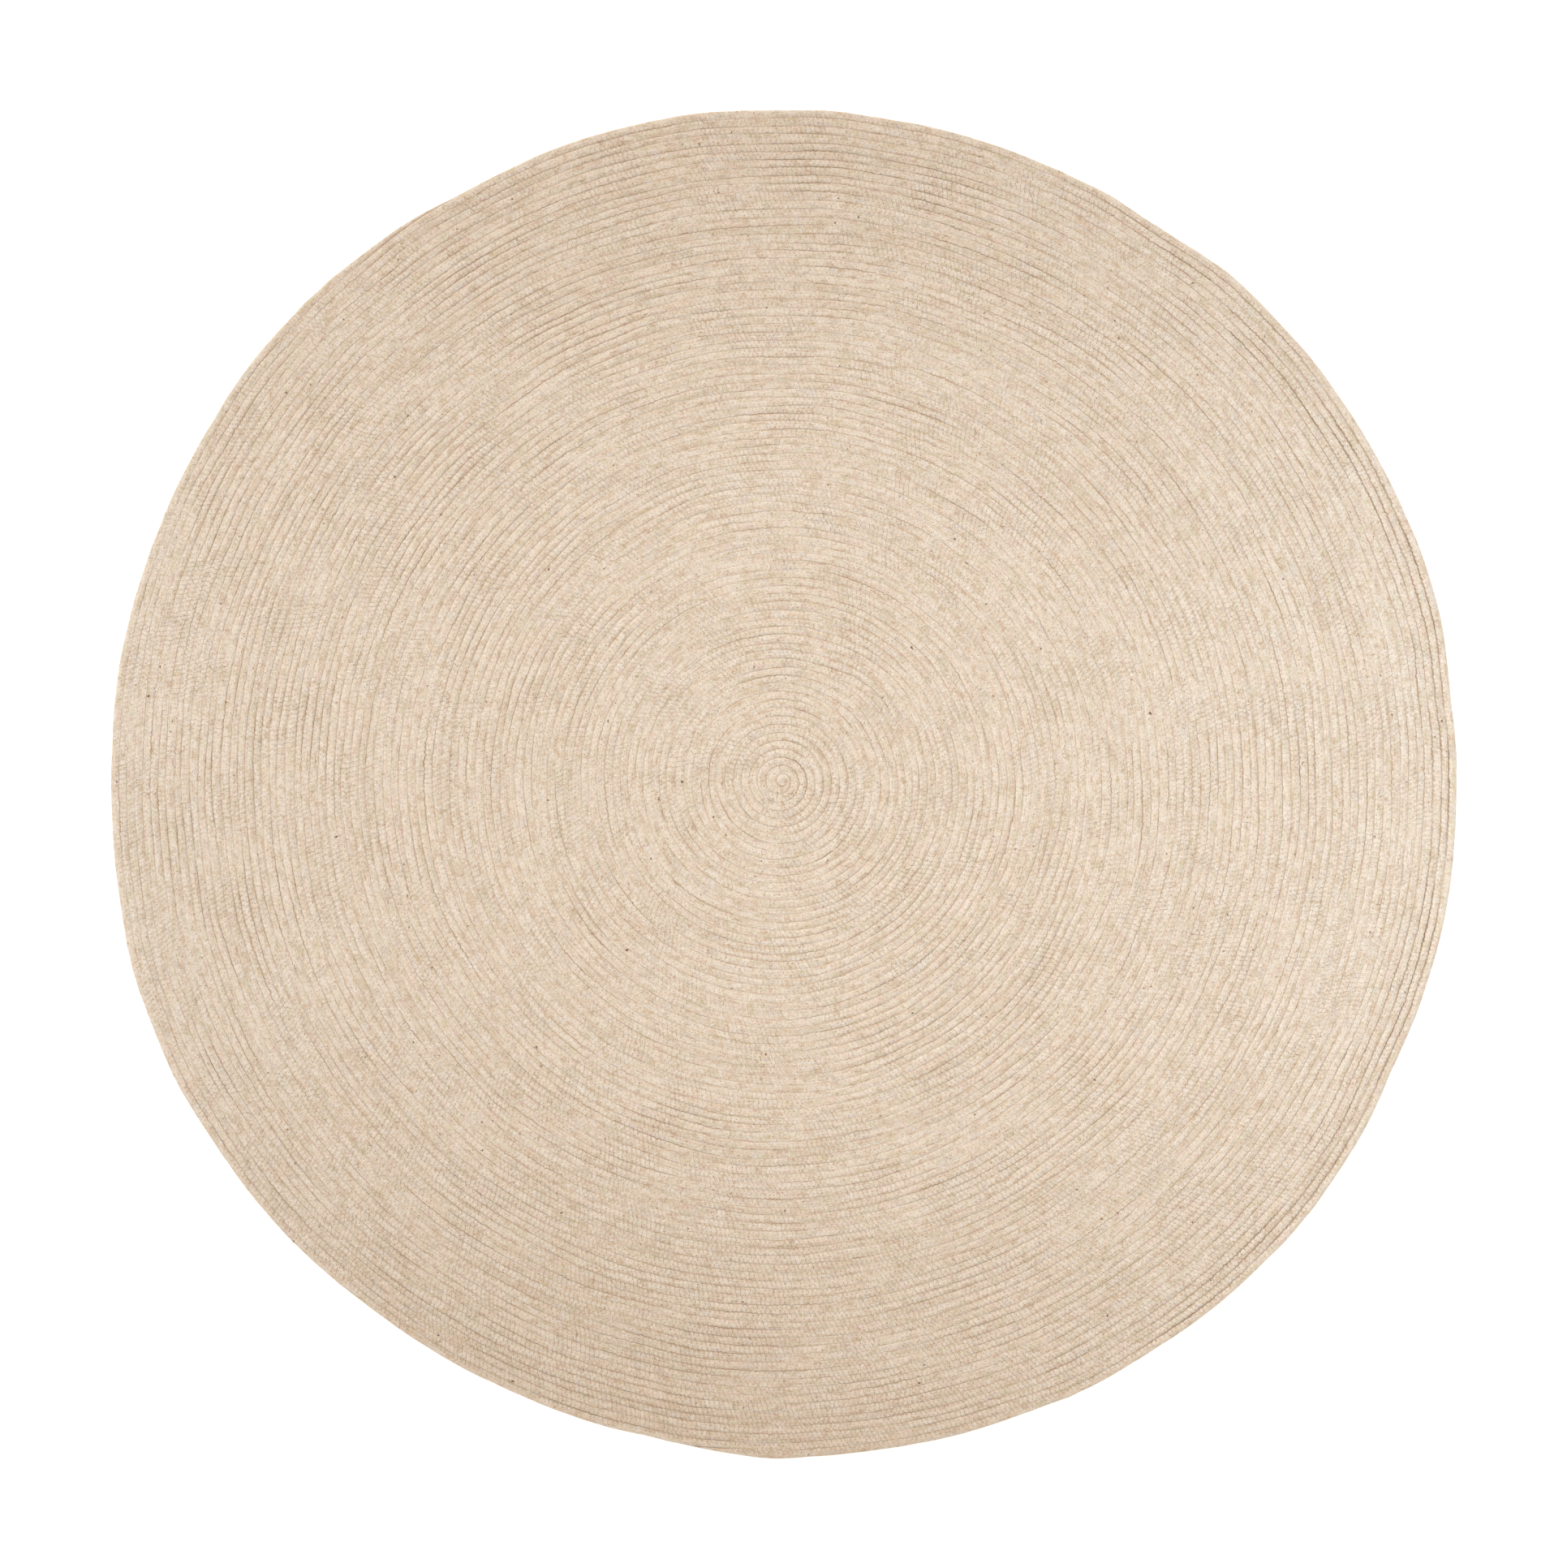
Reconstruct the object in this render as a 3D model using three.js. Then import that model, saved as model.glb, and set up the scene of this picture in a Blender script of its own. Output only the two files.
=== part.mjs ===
// Round wool rug: a felted wool cord wound flat from the middle and sewn turn to turn.
// A few turns out a second cord is laid in, and both run side by side to the rim, where one
// after the other tapers away. The rug is one solid, with its seams and the crests of its
// cords raised in the top face. Millimetres, +Z up. It lies flat on z = 0, and the middle of
// its outline is over the origin.

import * as THREE from "three";
import { mergeVertices } from "three/addons/utils/BufferGeometryUtils.js";

// Driving dimensions. Seams are counted from the middle.
const TURN_PITCH = 12.15; // from one seam to the next
const THICKNESS = 10; // from the floor to the crest of a cord
const SEAM_DEPTH = 2.4; // how far a seam lies below the crests
const FULL_CREST = 0.6; // a cord narrower than this share of the pitch has a lower crest
const PAIR_SEAM = 14; // the seam at which the second cord is laid in
const RIM_SEAM = 82; // the seam that is the rim in the direction of that start
const COIL_CENTRE = { x: -4.6, y: 3.4 }; // the coil's middle, seen from the outline's middle
const MARGIN = 3; // how far a straight step may leave the curve of its turn

// Directions are in degrees turned, clockwise as the cord is wound, from the place where the
// second cord starts.
const FULL_TURN = 360;
const PAIR_START = 77.5; // that place, in degrees anticlockwise from +X
const PAIR_GROWTH = 40; // over these degrees the second cord gets its full width
const PAIR_REACH = 6; // about so many turns outside it bend to make room for it
const TAILS = [
  { end: 177, length: 9 },
  { end: 322, length: 18 },
];

// Section of the outermost cord, which is rounded down to the floor.
const EDGE_HEIGHT = 4.6; // of the widest place
const SHOULDER = { inset: 1.7, height: 8.4, growth: 6 }; // growth in degrees after a tail
const FOOT_INSET = 2.2; // the cord touches the floor this far in
const RIM_STEPS = 96; // steps around the rim
const RIM_CORDS = 3; // so many outer cords follow it with as fine a step

// How far the rim lies outside an even coil, in millimetres. From row to row it goes over in
// an S-curve. The turns follow it in full beyond FOLLOW_FROM, and less towards the middle.
const UNEVENNESS = [
  { turned: 0, out: -1 },
  { turned: 20, out: 0.5 },
  { turned: 32, out: 8 },
  { turned: 60, out: 8 },
  { turned: 78, out: 2 },
  { turned: 100, out: 2 },
  { turned: 120, out: 8 },
  { turned: 145, out: 0 },
  { turned: 160, out: -5.5 },
  { turned: 171, out: -3.5 },
  { turned: 200, out: -9 },
  { turned: 215, out: -3.5 },
  { turned: 240, out: 1 },
  { turned: 250, out: -7 },
  { turned: 285, out: -8.5 },
  { turned: 304, out: -3 },
  { turned: 340, out: 3 },
  { turned: FULL_TURN, out: -1 },
];
const FOLLOW_FROM = 81.5; // in turns
const FOLLOW_POWER = 8;

const CREST_HEIGHT = THICKNESS;
const SEAM_HEIGHT = THICKNESS - SEAM_DEPTH;
const TAIL_ENDS = TAILS.map((tail) => tail.end);
const SAME_POINT = 1e-6; // corners nearer than this are one

const { lerp, degToRad } = THREE.MathUtils;
const smooth = (share) => THREE.MathUtils.smoothstep(share, 0, 1);

// Where the seams run

function unevenness(turned) {
  const next = Math.max(1, UNEVENNESS.findIndex((row) => row.turned >= turned));
  const a = UNEVENNESS[next - 1];
  const b = UNEVENNESS[next];
  return lerp(a.out, b.out, smooth((turned - a.turned) / (b.turned - a.turned)));
}

function radiusAfter(turns, turned) {
  const follow = Math.min(1, turns / FOLLOW_FROM) ** FOLLOW_POWER;
  return TURN_PITCH * turns + unevenness(turned) * follow;
}

// A seam of the single cord moves out by one turn in a full round.
const singleSeam = (seam) => (turned) => radiusAfter(seam + turned / FULL_TURN, turned);

// A seam of the pair moves out by two. Just outside the second cord's start it makes room at
// once, and further out it does so evenly, all the way round.
const pairSeam = (seam) => (turned) => {
  const even = turned / FULL_TURN;
  const near = Math.exp((PAIR_SEAM - seam) / PAIR_REACH);
  const room = lerp(even, smooth(turned / PAIR_GROWTH), near);
  return radiusAfter(seam + even + room, turned);
};

// Share of its full width that a cord still has along its tail.
const tailShare = (tail, turned) => smooth((tail.end - turned) / tail.length);

function rimCordShare(turned) {
  const tail = TAILS.find(({ end }) => turned <= end);
  return tail ? tailShare(tail, turned) : 1;
}

// The rim is the outermost seam that is left, one fewer after each tail.
function rimRadius(turned) {
  const seam = RIM_SEAM - TAIL_ENDS.filter((end) => turned > end).length;
  return lerp(pairSeam(seam - 1)(turned), pairSeam(seam)(turned), rimCordShare(turned));
}

// The shoulder grows out of the rim's edge after a tail, and shrinks into it along one.
function shoulderShare(turned) {
  const past = TAIL_ENDS.filter((end) => turned >= end).map((end) => turned - end);
  return Math.min(smooth(Math.min(...past, FULL_TURN) / SHOULDER.growth), rimCordShare(turned));
}

// Lines of points along the coil

// Directions of a line's points: evenly spaced, and also at each tail's end where asked.
function stations(steps, end, atTails) {
  const step = FULL_TURN / steps;
  const fixed = [0, end, ...(atTails ? TAIL_ENDS.filter((tail) => tail < end) : [])];
  const even = Array.from({ length: steps }, (_, i) => i * step);
  const free = even.filter((s) => s < end && fixed.every((f) => Math.abs(f - s) > step / 4));
  return [...fixed, ...free].sort((a, b) => a - b);
}

function stepsFor(radius) {
  const fewest = Math.PI * Math.sqrt(radius / (2 * MARGIN));
  return 6 * Math.max(2, Math.ceil(fewest / 6));
}

function makeLine({ radius, height, steps, end = FULL_TURN, atTails = false }) {
  return stations(steps, end, atTails).map((turned) => {
    const angle = degToRad(PAIR_START - turned);
    const x = COIL_CENTRE.x + radius(turned) * Math.cos(angle);
    const y = COIL_CENTRE.y + radius(turned) * Math.sin(angle);
    return { turned, position: new THREE.Vector3(x, y, height(turned)) };
  });
}

// The solid's skin

const corners = [];

function addTriangle(...points) {
  const [a, b, c] = points.map((point) => point.position);
  const sides = [a.distanceTo(b), b.distanceTo(c), c.distanceTo(a)];
  if (Math.min(...sides) > SAME_POINT) corners.push(a, b, c);
}

// A strip of triangles between two lines. It always steps on along the one that is behind.
function addStrip(inner, outer, from = 0, to = FULL_TURN) {
  const a = inner.filter(({ turned }) => turned >= from && turned <= to);
  const b = outer.filter(({ turned }) => turned >= from && turned <= to);
  let i = 0;
  let j = 0;
  while (i < a.length - 1 || j < b.length - 1) {
    const innerNext = a[i + 1]?.turned ?? Infinity;
    const outerNext = b[j + 1]?.turned ?? Infinity;
    if (innerNext <= outerNext) addTriangle(a[i], a[++i], b[j]);
    else addTriangle(a[i], b[j + 1], b[j++]);
  }
}

// The crest of a cord lies midway between its seams, and is lower where the cord is narrow.
function crestLine(inside, outside, end, isRimCord) {
  const radius = (turned) => (inside(turned) + outside(turned)) / 2;
  const height = (turned) => {
    const width = (outside(turned) - inside(turned)) / TURN_PITCH;
    return lerp(isRimCord ? EDGE_HEIGHT : SEAM_HEIGHT, CREST_HEIGHT, smooth(width / FULL_CREST));
  };
  const steps = isRimCord ? RIM_STEPS : stepsFor(radius(end));
  return makeLine({ radius, height, steps, end, atTails: isRimCord });
}

// Each cord lies from its inside seam to its outside one, from the second cord's start to its
// end: the same place again after a full turn, or a tail. From rimFrom on it is the rim.
function coilCords() {
  const middle = () => 0;
  const single = Array.from({ length: PAIR_SEAM + 1 }, (_, seam) => singleSeam(seam));
  const pair = Array.from({ length: RIM_SEAM - PAIR_SEAM + 1 }, (_, i) => pairSeam(PAIR_SEAM + i));
  const seams = [middle, ...single, ...pair];
  return seams.slice(1).map((outside, i) => {
    const cordsOutside = seams.length - 2 - i;
    return {
      inside: seams[i],
      outside,
      end: TAIL_ENDS[cordsOutside] ?? FULL_TURN,
      rimFrom: cordsOutside === 0 ? 0 : (TAIL_ENDS[cordsOutside - 1] ?? FULL_TURN),
      tailOutside: TAILS[cordsOutside - 1],
      isRimCord: cordsOutside < RIM_CORDS,
    };
  });
}

function rugGeometry() {
  const shoulder = makeLine({
    radius: (turned) => rimRadius(turned) - SHOULDER.inset * shoulderShare(turned),
    height: (turned) => lerp(EDGE_HEIGHT, SHOULDER.height, shoulderShare(turned)),
    steps: RIM_STEPS,
    atTails: true,
  });
  const edge = makeLine({
    radius: rimRadius,
    height: () => EDGE_HEIGHT,
    steps: RIM_STEPS,
    atTails: true,
  });
  const foot = makeLine({
    radius: (turned) => rimRadius(turned) - FOOT_INSET,
    height: () => 0,
    steps: RIM_STEPS,
    atTails: true,
  });
  const underMiddle = makeLine({ radius: () => 0, height: () => 0, steps: 1 });

  // From the middle out, each cord has the strip up to its crest and the strip down from it,
  // to its outside seam or, as the rim, to the shoulder.
  let seamLine = makeLine({ radius: () => 0, height: () => SEAM_HEIGHT, steps: 1 });
  for (const { inside, outside, end, rimFrom, tailOutside, isRimCord } of coilCords()) {
    const outer = isRimCord ? (turned) => Math.min(outside(turned), rimRadius(turned)) : outside;
    const crest = crestLine(inside, outer, end, isRimCord);
    addStrip(seamLine, crest, 0, end);
    if (rimFrom > 0) {
      const share = (turned) => (tailOutside ? tailShare(tailOutside, turned) : 1);
      seamLine = makeLine({
        radius: outer,
        height: (turned) => lerp(EDGE_HEIGHT, SEAM_HEIGHT, share(turned)),
        steps: isRimCord ? RIM_STEPS : stepsFor(outside(rimFrom)),
        end: rimFrom,
        atTails: isRimCord,
      });
      addStrip(crest, seamLine, 0, rimFrom);
    }
    if (rimFrom < end) addStrip(crest, shoulder, rimFrom, end);
  }
  addStrip(shoulder, edge);
  addStrip(edge, foot);
  addStrip(foot, underMiddle);

  const geometry = new THREE.BufferGeometry().setFromPoints(corners);
  const merged = mergeVertices(geometry, 1e-4);
  merged.computeVertexNormals();
  return merged;
}

const feltedWool = new THREE.MeshStandardMaterial({
  name: "felted_wool",
  color: 0xdfccb6,
  roughness: 0.95,
  metalness: 0,
});

const rug = new THREE.Group();
const coil = new THREE.Mesh(rugGeometry(), feltedWool);
coil.name = "rug";
rug.add(coil);

export default rug;
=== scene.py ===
# %% [markdown]
# Round rug wound from felted wool cord
#
# The real rug is about 260 metres of felted cord, laid flat in a spiral and sewn turn to turn
# with a zigzag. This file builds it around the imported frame: first the camera, then the run of
# the cords, their rounded section, the wool and the sewing, and last the floor and the light.

import bpy
import numpy as np
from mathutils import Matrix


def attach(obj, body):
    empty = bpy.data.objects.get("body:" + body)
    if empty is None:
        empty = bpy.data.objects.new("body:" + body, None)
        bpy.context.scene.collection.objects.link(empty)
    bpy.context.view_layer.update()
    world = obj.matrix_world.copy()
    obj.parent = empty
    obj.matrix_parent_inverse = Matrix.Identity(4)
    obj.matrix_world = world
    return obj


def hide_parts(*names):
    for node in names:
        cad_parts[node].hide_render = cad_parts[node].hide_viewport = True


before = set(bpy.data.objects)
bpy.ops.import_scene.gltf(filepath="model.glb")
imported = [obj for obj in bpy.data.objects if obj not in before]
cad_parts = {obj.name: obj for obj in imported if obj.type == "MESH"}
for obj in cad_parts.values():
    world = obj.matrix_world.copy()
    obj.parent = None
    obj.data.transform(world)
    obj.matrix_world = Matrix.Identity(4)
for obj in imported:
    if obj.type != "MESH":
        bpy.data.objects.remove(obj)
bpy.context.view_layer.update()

# %% [markdown]
# The camera
#
# The photograph looks straight down on the rug. Its picture is 1931 x 1932 pixels and one pixel
# is 1.2026 mm on the rug's face, so the height follows from the lens by similar triangles. A
# long lens is chosen, because it shows the rug's edge almost without its side.

# %% Place the camera straight above the rug
PHOTO_PIXELS = 1932
METRES_PER_PIXEL = 0.0012026
LENS_MM = 85
SENSOR_MM = 36
FACE_HEIGHT = 0.010

camera = bpy.data.objects.new("camera", bpy.data.cameras.new("camera"))
camera.data.lens = LENS_MM
camera.data.sensor_width = SENSOR_MM
camera.location.z = FACE_HEIGHT + PHOTO_PIXELS * METRES_PER_PIXEL * LENS_MM / SENSOR_MM
bpy.context.scene.collection.objects.link(camera)
bpy.context.scene.camera = camera
print("The camera hangs", round(camera.location.z, 3), "m above the floor")

# %% [markdown]
# How the cords run
#
# A turn of cord lies between two seam lines. Each line is a spiral: its radius grows by one turn
# in a full round while there is one cord, and by two after the second cord is laid in. The
# numbers are the frame's own, in metres, so the dressed rug lies exactly where the solid does.
# Directions are counted in degrees turned, clockwise from the second cord's start.

# %% Name the sizes of the coil
TURN_PITCH = 0.01215
THICKNESS = 0.010
# Seams are counted from the middle: the one where the second cord is laid in, and the rim.
PAIR_SEAM = 14
RIM_SEAM = 82
COIL_CENTRE = np.array([-0.0046, 0.0034])
FULL_TURN = 360.0
# The second cord starts this many degrees anticlockwise from +X, has its full width after
# PAIR_GROWTH degrees, and bends about PAIR_REACH turns outside it to make room for itself.
PAIR_START = 77.5
PAIR_GROWTH = 40
PAIR_REACH = 6
TAILS = [{"end": 177, "length": 9}, {"end": 322, "length": 18}]

# The outline is a little uneven. Each row has the degrees turned, and the millimetres that the
# rim lies outside an even coil there. The turns follow it in full beyond FOLLOW_FROM turns.
UNEVENNESS = np.array(
    [
        (0, -1), (20, 0.5), (32, 8), (60, 8), (78, 2), (100, 2), (120, 8), (145, 0), (160, -5.5),
        (171, -3.5), (200, -9), (215, -3.5), (240, 1), (250, -7), (285, -8.5), (304, -3),
        (340, 3), (360, -1),
    ]
)
FOLLOW_FROM = 81.5
FOLLOW_POWER = 8
print("The rim is uneven by", UNEVENNESS[:, 1].min(), "to", UNEVENNESS[:, 1].max(), "mm")


# %% Work out where a seam line runs
def smooth(share):
    """S-curve from 0 to 1: three times the share squared less twice its cube."""
    share = np.clip(share, 0, 1)
    return share * share * (3 - 2 * share)


def unevenness(turned):
    """Metres outside an even coil, going over from row to row of the table in S-curves."""
    at, out = UNEVENNESS.T
    row = np.clip(np.searchsorted(at, turned), 1, len(at) - 1)
    share = smooth((turned - at[row - 1]) / (at[row] - at[row - 1]))
    return (out[row - 1] + (out[row] - out[row - 1]) * share) / 1000


def radius_after(turns, turned):
    """Turns times the pitch, plus the rim's unevenness, which fades fast towards the middle."""
    follow = np.minimum(1, turns / FOLLOW_FROM) ** FOLLOW_POWER
    return TURN_PITCH * turns + unevenness(turned) * follow


def pair_radius(seam, turned):
    """Radius of a seam of the pair, which moves out by two turns in a round.

    Next to the second cord's start the second of these two turns comes at once, over the
    first degrees, and further out it comes evenly."""
    even = turned / FULL_TURN
    near = np.exp((PAIR_SEAM - seam) / PAIR_REACH)
    room = even + (smooth(turned / PAIR_GROWTH) - even) * near
    return radius_after(seam + even + room, turned)


def tail_share(tail, turned):
    """Share of its width that a cord still has along its tail: an S-curve down to nothing."""
    return smooth((tail["end"] - turned) / tail["length"])


def rim_radius(turned):
    """Radius of the rim: the outermost seam that is left, narrowing along each tail."""
    first, second = TAILS
    seam = RIM_SEAM - (turned > first["end"]) - (turned > second["end"])
    share = np.where(turned <= first["end"], tail_share(first, turned), tail_share(second, turned))
    share = np.where(turned > second["end"], 1, share)
    inner = pair_radius(seam - 1, turned)
    return inner + (pair_radius(seam, turned) - inner) * share


# Lines are numbered from the middle: line 0 is the middle itself, and cord k lies between
# line k and line k + 1.
SINGLE_LINES = PAIR_SEAM + 1
CORDS = RIM_SEAM + 2


def line_radius(line, turned):
    """Radius of a seam line: nothing in the middle, then single seams, then the pair's."""
    if line == 0:
        return np.zeros_like(turned)
    if line <= SINGLE_LINES:
        return radius_after(line - 1 + turned / FULL_TURN, turned)
    radius = pair_radius(line - 2, turned)
    return np.minimum(radius, rim_radius(turned)) if line > CORDS - 3 else radius


def cord_end(cord):
    """Degrees at which a cord ends: at a tail for the outermost two, else after a full turn."""
    outside = CORDS - 1 - cord
    return TAILS[outside]["end"] if outside < len(TAILS) else FULL_TURN


print("There are", CORDS, "turns of cord, the outermost", round(float(rim_radius(0.0)), 3), "m out")

# %% [markdown]
# The hand of the sewer
#
# A cord that is fed under a machine by hand never lies quite true. It sways by about a
# millimetre, is wider here and narrower there, a little higher or lower, and is pulled tighter
# at some places than at others. All that could be drawn line by line. It is simpler as smooth
# random hills over the floor, because neighbours that touch then agree by themselves. Hills
# that are as wide as long move whole groups of turns. Hills that are laid out in rounds, long
# along the cord and shorter than its width across it, make each cord's width uneven.

# %% Make smooth random hills
# How far the hills' lattice has to reach from the middle.
PLAN_HALF = 1.05


def hills(u, v, shape, seed):
    """Smooth random values: a lattice of random numbers, blended by cubic B-spline weights.

    The weights of the four nearest lattice lines on each axis are the four cubic pieces of
    the B-spline, and the value is the sum over the sixteen nearest lattice points. After its
    last line the lattice goes on with its first, so it can close round a circle."""
    lattice = np.random.default_rng(seed).normal(size=shape)
    total = np.zeros(np.broadcast(u, v).shape)
    places, weights = [], []
    for at in (u, v):
        low = np.floor(at).astype(int)
        f = at - low
        places.append(low)
        weights.append(
            [(1 - f) ** 3 / 6, (3 * f**3 - 6 * f**2 + 4) / 6,
             (-3 * f**3 + 3 * f**2 + 3 * f + 1) / 6, f**3 / 6]
        )
    for i in range(4):
        for j in range(4):
            value = lattice[(places[0] + i - 1) % shape[0], (places[1] + j - 1) % shape[1]]
            total += weights[0][i] * weights[1][j] * value
    return total


def cells_across(length, cell):
    """Lattice lines that cover a length, with the four more that the blending reaches."""
    return int(np.ceil(length / cell)) + 4


def plan_hills(x, y, cell, seed):
    """Hills over the floor plan, on a lattice of square cells."""
    size = cells_across(2 * PLAN_HALF, cell)
    return hills(x / cell, y / cell, (size, size), seed)


diagonal = np.linspace(0, 40, 401)
hills_spread = float(hills(diagonal, diagonal, (44, 44), 0).std())
print("The hills' spread is", round(hills_spread, 2), "of their height")

# %% Let the cords sway and their widths vary
# The sway grows from nothing in the middle to its whole at SWAY_FROM. The widths vary in two
# sets of rounds, each between its radii from and to, and not at the rim itself.
SWAY = [{"cell": 0.070, "height": 0.0022}, {"cell": 0.013, "height": 0.0005}]
SWAY_FROM = 0.03
WIDTHS = [
    {"around": 20, "cell": 0.0065, "height": 0.0015, "from": 0.02, "to": 0.40, "seed": 21},
    {"around": 56, "cell": 0.0065, "height": 0.0019, "from": 0.25, "to": 1.30, "seed": 22},
]
WIDTHS_BLEND = 0.15
TRUE_NEAR_RIM = 0.030
HOOK = np.array([0.0060, -0.0012])
HOOK_REACH = 0.017


def uneven_width(radius, turned):
    """Metres that a seam is moved out by hills laid in rounds, which fade near the rim.

    One set of hills serves the inner turns and one the outer, and they go over in S-curves."""
    moved = 0
    for layer in WIDTHS:
        shape = (layer["around"], cells_across(PLAN_HALF, layer["cell"]))
        around = turned / FULL_TURN * layer["around"]
        share = smooth((radius - layer["from"]) / WIDTHS_BLEND)
        share = share * smooth((layer["to"] - radius) / WIDTHS_BLEND)
        uneven = hills(around, radius / layer["cell"], shape, layer["seed"])
        moved = moved + layer["height"] * share * uneven
    return moved * smooth((rim_radius(turned) - radius) / TRUE_NEAR_RIM)


def on_plan(radius, turned):
    """Places on the floor plan: the radius turned clockwise, then swayed in and out by hills.

    Near the middle all places move by the hook, times an S-curve that fades with the radius,
    because the cord starts as a short straight piece that is folded round one point."""
    angle = np.radians(PAIR_START - turned)
    out = np.stack([np.cos(angle) + 0 * radius, np.sin(angle) + 0 * radius], axis=-1)
    place = COIL_CENTRE + radius[..., None] * out
    sway = sum(
        layer["height"] * plan_hills(place[..., 0], place[..., 1], layer["cell"], seed)
        for seed, layer in enumerate(SWAY)
    )
    sway = sway * smooth(radius / SWAY_FROM) + uneven_width(radius, turned)
    hooked = (1 - smooth(radius / HOOK_REACH))[..., None] * HOOK
    return place + hooked + sway[..., None] * out


quarter_degrees = np.arange(0, FULL_TURN, 0.25)
swayed = on_plan(np.full(quarter_degrees.shape, 0.6), quarter_degrees) - COIL_CENTRE
swayed_out = 1000 * np.hypot(swayed[:, 0], swayed[:, 1])
print(f"A line 600 mm out sways between {swayed_out.min():.1f} and {swayed_out.max():.1f} mm")

# %% [markdown]
# The section of a cord
#
# Felt cord is round when it is made, and the stitches press it into a soft rectangle: almost
# flat on top and rounded steeply into the seam. A superellipse gives that with one formula. Its
# points stand closer together near the seam, where it bends. The rim has no neighbour to lean
# on, so there the section rounds down to half the height.

# %% Shape the section from seam to seam
FULL_CREST = 0.6
HEIGHT_HILLS = {"cell": 0.028, "height": 0.0004, "seed": 11}
# A seam is least to most times as deep as its face says, as hills that swing round 1 have it.
DEPTH_HILLS = {"cell": 0.060, "swing": 1.2, "seed": 12, "least": 0.25, "most": 1.9}
OPEN_RIM = {"share": 1.5, "rounder": 1.1, "reach": 0.060, "from": 0.2, "to": 0.9}

# Places across a cord, from -1 at the inside seam over 0 on the crest to 1 at the outside one.
HALF_TOP = np.array([1, 0.94, 0.84, 0.68, 0.40])
HALF_UNDER = np.array([1, 0.8])
FACES = {
    "top": {
        "across": np.concatenate([-HALF_TOP, [0], HALF_TOP[::-1]]),
        "power": 3.2,
        "seam": 0.0010,
        "rim": 0.0048,
    },
    "under": {
        "across": np.concatenate([-HALF_UNDER, [0], HALF_UNDER[::-1]]),
        "power": 5,
        "seam": 0.0021,
        "rim": 0.0044,
    },
}


def rim_share(line, turned):
    """1 where a line is the rim, 0 where it is a seam, and an S-curve along a tail."""
    outside = CORDS - 1 - line
    if outside < 0:
        return np.ones_like(turned)
    return 1 - tail_share(TAILS[outside], turned) if outside < len(TAILS) else 0 * turned


def cord_points(cord, turned, side):
    """Points of one face of a cord, as rows across it and columns along it.

    The depth below the crest is a seam's depth times the distance from the crest to a power,
    or at the rim the rim's depth times one less the root of one less that power. Hills make
    the seams' depth uneven, and they open towards the rim on the right. A narrow cord has a
    lower crest."""
    face = FACES[side]
    across = face["across"][:, None]
    inside, outside = line_radius(cord, turned), line_radius(cord + 1, turned)
    radius = inside + (outside - inside) * (across + 1) / 2
    place = on_plan(radius, turned)
    x, y = place[..., 0], place[..., 1]
    rim = np.where(across < 0, rim_share(cord, turned), rim_share(cord + 1, turned))
    loose = 1 + DEPTH_HILLS["swing"] * plan_hills(x, y, DEPTH_HILLS["cell"], DEPTH_HILLS["seed"])
    loose = np.clip(loose, DEPTH_HILLS["least"], DEPTH_HILLS["most"])
    near_rim = smooth(1 - (rim_radius(turned) - radius) / OPEN_RIM["reach"])
    to_right = smooth((x - OPEN_RIM["from"]) / (OPEN_RIM["to"] - OPEN_RIM["from"]))
    opened = loose + OPEN_RIM["share"] * near_rim * to_right
    power = face["power"] - OPEN_RIM["rounder"] * near_rim * to_right
    depth = face["seam"] * opened * (1 - rim) + face["rim"] * rim
    crest = smooth((outside - inside) / (FULL_CREST * TURN_PITCH))
    seam_curve = np.abs(across) ** power
    rim_curve = 1 - np.sqrt(1 - seam_curve)
    round_off = 1 - crest * (1 - seam_curve - (rim_curve - seam_curve) * rim)
    if side == "under":
        return np.dstack([x, y, depth * round_off])
    lift = HEIGHT_HILLS["height"] * plan_hills(x, y, HEIGHT_HILLS["cell"], HEIGHT_HILLS["seed"])
    return np.dstack([x, y, THICKNESS - depth * round_off + lift * (1 - round_off)])


heights = 1000 * cord_points(40, quarter_degrees, "top")[..., 2].mean(axis=1)
print(f"Cord 40 is {heights.max():.1f} mm high on its crest and {heights.min():.1f} mm at a seam")

# %% [markdown]
# Measuring along the cord
#
# The wool's patches, the thread and the needle holes follow the cord, so each point of the skin
# knows two places. The map Cord holds the metres of cord wound so far, and the turns out from
# the middle. The map Seam holds the metres along the nearest seam line, and the distance from
# it in metres, below nothing on its inner side. Both are lengths, so that a pattern can be given
# in millimetres. The rim is no seam, so the distance from it is made too long for any stitch.

# %% Add up the lengths of cords and seams
FINE_STEPS = 721
RIM_CLEAR = 0.02
# The second cord counts its metres from here, so that it has patches of its own.
SECOND_CORD_FROM = 150.0
fine_turned = np.linspace(0, FULL_TURN, FINE_STEPS)


def length_along(radius, turned):
    """Running length of a spiral: the sum of mean radius times the angle of each step."""
    steps = np.radians(np.diff(turned)) * (radius[1:] + radius[:-1]) / 2
    return np.concatenate([[0], np.cumsum(steps)])


def starts_of(radius_of, count, first_pair):
    """Length at which each round starts, added up along each cord or seam from its start.

    A round goes on in the next one while there is one cord, and in the next but one after."""
    starts = np.zeros(count)
    starts[first_pair] = SECOND_CORD_FROM
    for k in range(count):
        total = starts[k] + length_along(radius_of(k), fine_turned)[-1]
        next_round = k + 1 if k < first_pair - 1 else k + 2
        if next_round < count:
            starts[next_round] = total
    return starts


def mid_radius(cord, turned=fine_turned):
    """Radius of a cord's middle line."""
    return (line_radius(cord, turned) + line_radius(cord + 1, turned)) / 2


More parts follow.
